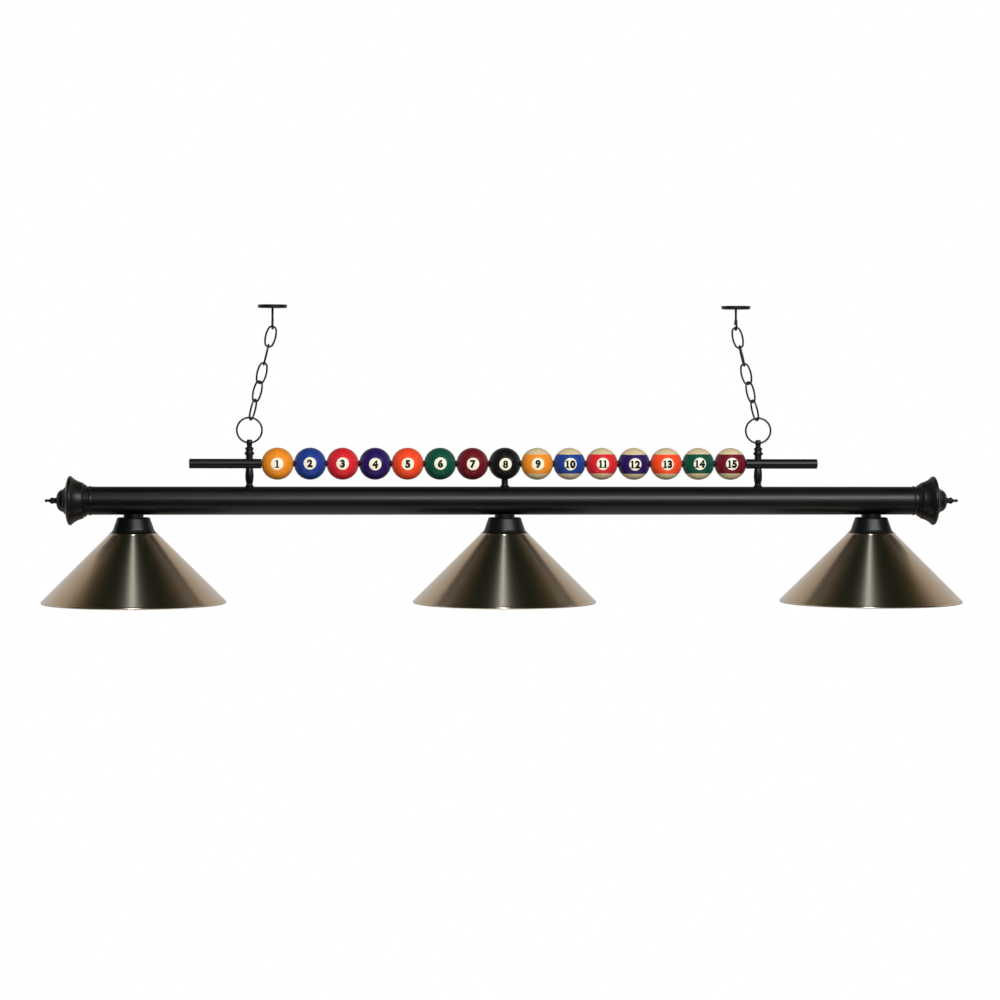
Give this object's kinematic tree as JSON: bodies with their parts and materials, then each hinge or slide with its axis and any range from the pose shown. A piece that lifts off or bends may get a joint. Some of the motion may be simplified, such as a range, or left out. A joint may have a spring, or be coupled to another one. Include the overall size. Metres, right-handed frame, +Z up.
{
  "type": "pool table lamp",
  "caption": "Long hanging lamp for a pool table: a black tube with cone shades below, a row of pool balls on a rod above, and two chains up to ceiling hooks.",
  "frame": {"origin": "on the ceiling plane, at the centre of the four screw holes of the two hook plates", "axes": "+X along the lamp from ball 1 to ball 15, -Y the front where the numbers face, +Z up into the ceiling"},
  "size_m": [1.6463, 0.3284, 0.5307],
  "materials": {
    "black_metal": "satin black powder coat",
    "chain_metal": "black coated steel wire",
    "shade_metal": "brushed nickel, spun",
    "rod_steel": "plain steel, blackened",
    "hardware": "zinc plated",
    "holder_body": "black phenolic moulding",
    "bulb_glass": "frosted white glass on a nickel screw base",
    "wire_cover": "black vinyl insulation",
    "grommet_rubber": "black rubber",
    "ball_1_resin": "cast resin, polished, one colour",
    "ball_2_resin": "cast resin, polished, one colour",
    "ball_3_resin": "cast resin, polished, one colour",
    "ball_4_resin": "cast resin, polished, one colour",
    "ball_5_resin": "cast resin, polished, one colour",
    "ball_6_resin": "cast resin, polished, one colour",
    "ball_7_resin": "cast resin, polished, one colour",
    "ball_8_resin": "cast resin, polished, one colour",
    "ball_9_resin": "cast resin, polished, cream with a coloured belt",
    "ball_10_resin": "cast resin, polished, cream with a coloured belt",
    "ball_11_resin": "cast resin, polished, cream with a coloured belt",
    "ball_12_resin": "cast resin, polished, cream with a coloured belt",
    "ball_13_resin": "cast resin, polished, cream with a coloured belt",
    "ball_14_resin": "cast resin, polished, cream with a coloured belt",
    "ball_15_resin": "cast resin, polished, cream with a coloured belt"
  },
  "bodies": {
    "ceiling": {"left_ceiling_plate": "black_metal", "right_ceiling_plate": "black_metal", "left_ceiling_hook": "black_metal", "right_ceiling_hook": "black_metal"},
    "left_top_link": {"left_top_link": "chain_metal"},
    "right_top_link": {"right_top_link": "chain_metal"},
    "left_chain": {"left_chain_links": "chain_metal"},
    "right_chain": {"right_chain_links": "chain_metal"},
    "left_ring": {"left_ring": "chain_metal"},
    "right_ring": {"right_ring": "chain_metal"},
    "lamp": {"main_tube": "black_metal", "left_end_cup": "black_metal", "right_end_cup": "black_metal", "left_end_dome": "black_metal", "right_end_dome": "black_metal", "end_finials": "black_metal", "end_stops": "hardware", "end_studs": "hardware", "left_post": "black_metal", "middle_post": "black_metal", "right_post": "black_metal", "left_eyelet": "black_metal", "right_eyelet": "black_metal", "post_studs": "hardware", "post_nuts": "hardware", "ball_rod": "rod_steel", "left_rod_sleeve": "black_metal", "right_rod_sleeve": "black_metal", "ball_8": "ball_8_resin", "ball_spacers": "black_metal", "left_shade": "shade_metal", "middle_shade": "shade_metal", "right_shade": "shade_metal", "left_shade_cup": "black_metal", "middle_shade_cup": "black_metal", "right_shade_cup": "black_metal", "lampholders": "holder_body", "holder_nipples": "hardware", "nipple_nuts": "hardware", "shade_lock_rings": "holder_body", "internal_wiring": "wire_cover", "inlet_grommet": "grommet_rubber"},
    "ball_1": {"ball_1": "ball_1_resin"},
    "ball_2": {"ball_2": "ball_2_resin"},
    "ball_3": {"ball_3": "ball_3_resin"},
    "ball_4": {"ball_4": "ball_4_resin"},
    "ball_5": {"ball_5": "ball_5_resin"},
    "ball_6": {"ball_6": "ball_6_resin"},
    "ball_7": {"ball_7": "ball_7_resin"},
    "ball_9": {"ball_9": "ball_9_resin"},
    "ball_10": {"ball_10": "ball_10_resin"},
    "ball_11": {"ball_11": "ball_11_resin"},
    "ball_12": {"ball_12": "ball_12_resin"},
    "ball_13": {"ball_13": "ball_13_resin"},
    "ball_14": {"ball_14": "ball_14_resin"},
    "ball_15": {"ball_15": "ball_15_resin"},
    "left_bulb": {"left_bulb": "bulb_glass"},
    "middle_bulb": {"middle_bulb": "bulb_glass"},
    "right_bulb": {"right_bulb": "bulb_glass"}
  },
  "joints": [
    {"name": "front_back_sway", "type": "hinge", "parent": "ceiling", "child": "left_top_link", "pos_m": [-0.41194, 0, -0.03861], "axis": [1, 0, 0], "range_deg": [-12, 12]},
    {"name": "right_front_back_sway", "type": "hinge", "parent": "ceiling", "child": "right_top_link", "pos_m": [0.41194, 0, -0.03861], "axis": [1, 0, 0], "range_deg": [-12, 12]},
    {"name": "lengthwise_sway", "type": "hinge", "parent": "left_top_link", "child": "left_chain", "pos_m": [-0.41977, 0, -0.07098], "axis": [0, 1, 0], "range_deg": [-8, 8]},
    {"name": "right_lengthwise_sway", "type": "hinge", "parent": "right_top_link", "child": "right_chain", "pos_m": [0.41977, 0, -0.07098], "axis": [0, 1, 0], "range_deg": [-8, 8]},
    {"name": "left_ring_swing", "type": "hinge", "parent": "left_chain", "child": "left_ring", "pos_m": [-0.45196, 0, -0.20404], "axis": [0, 1, 0], "range_deg": [-7.5, 7.5]},
    {"name": "right_ring_swing", "type": "hinge", "parent": "right_chain", "child": "right_ring", "pos_m": [0.45196, 0, -0.20404], "axis": [0, 1, 0], "range_deg": [-7.5, 7.5]},
    {"name": "lamp_nod", "type": "hinge", "parent": "left_ring", "child": "lamp", "pos_m": [-0.454, 0, -0.24485], "axis": [1, 0, 0], "range_deg": [-20, 20]},
    {"name": "ball_1_turn", "type": "hinge", "parent": "lamp", "child": "ball_1", "pos_m": [-0.40425, 0, -0.282], "axis": [1, 0, 0], "continuous": true},
    {"name": "ball_2_turn", "type": "hinge", "parent": "lamp", "child": "ball_2", "pos_m": [-0.3465, 0, -0.282], "axis": [1, 0, 0], "continuous": true},
    {"name": "ball_3_turn", "type": "hinge", "parent": "lamp", "child": "ball_3", "pos_m": [-0.28875, 0, -0.282], "axis": [1, 0, 0], "continuous": true},
    {"name": "ball_4_turn", "type": "hinge", "parent": "lamp", "child": "ball_4", "pos_m": [-0.231, 0, -0.282], "axis": [1, 0, 0], "continuous": true},
    {"name": "ball_5_turn", "type": "hinge", "parent": "lamp", "child": "ball_5", "pos_m": [-0.17325, 0, -0.282], "axis": [1, 0, 0], "continuous": true},
    {"name": "ball_6_turn", "type": "hinge", "parent": "lamp", "child": "ball_6", "pos_m": [-0.1155, 0, -0.282], "axis": [1, 0, 0], "continuous": true},
    {"name": "ball_7_turn", "type": "hinge", "parent": "lamp", "child": "ball_7", "pos_m": [-0.05775, 0, -0.282], "axis": [1, 0, 0], "continuous": true},
    {"name": "ball_9_turn", "type": "hinge", "parent": "lamp", "child": "ball_9", "pos_m": [0.05775, 0, -0.282], "axis": [1, 0, 0], "continuous": true},
    {"name": "ball_10_turn", "type": "hinge", "parent": "lamp", "child": "ball_10", "pos_m": [0.1155, 0, -0.282], "axis": [1, 0, 0], "continuous": true},
    {"name": "ball_11_turn", "type": "hinge", "parent": "lamp", "child": "ball_11", "pos_m": [0.17325, 0, -0.282], "axis": [1, 0, 0], "continuous": true},
    {"name": "ball_12_turn", "type": "hinge", "parent": "lamp", "child": "ball_12", "pos_m": [0.231, 0, -0.282], "axis": [1, 0, 0], "continuous": true},
    {"name": "ball_13_turn", "type": "hinge", "parent": "lamp", "child": "ball_13", "pos_m": [0.28875, 0, -0.282], "axis": [1, 0, 0], "continuous": true},
    {"name": "ball_14_turn", "type": "hinge", "parent": "lamp", "child": "ball_14", "pos_m": [0.3465, 0, -0.282], "axis": [1, 0, 0], "continuous": true},
    {"name": "ball_15_turn", "type": "hinge", "parent": "lamp", "child": "ball_15", "pos_m": [0.40425, 0, -0.282], "axis": [1, 0, 0], "continuous": true},
    {"name": "left_bulb_out", "type": "slide", "parent": "lamp", "child": "left_bulb", "axis": [0, 0, 1], "range_m": [-0.027, 0]},
    {"name": "middle_bulb_out", "type": "slide", "parent": "lamp", "child": "middle_bulb", "axis": [0, 0, 1], "range_m": [-0.027, 0]},
    {"name": "right_bulb_out", "type": "slide", "parent": "lamp", "child": "right_bulb", "axis": [0, 0, 1], "range_m": [-0.027, 0]}
  ],
  "couplings": [
    {"joint": "right_front_back_sway", "follows": "front_back_sway", "ratio": 1},
    {"joint": "right_lengthwise_sway", "follows": "lengthwise_sway", "ratio": 1},
    {"joint": "left_ring_swing", "follows": "lengthwise_sway", "ratio": -0.92878},
    {"joint": "right_ring_swing", "follows": "lengthwise_sway", "ratio": -0.92878}
  ]
}
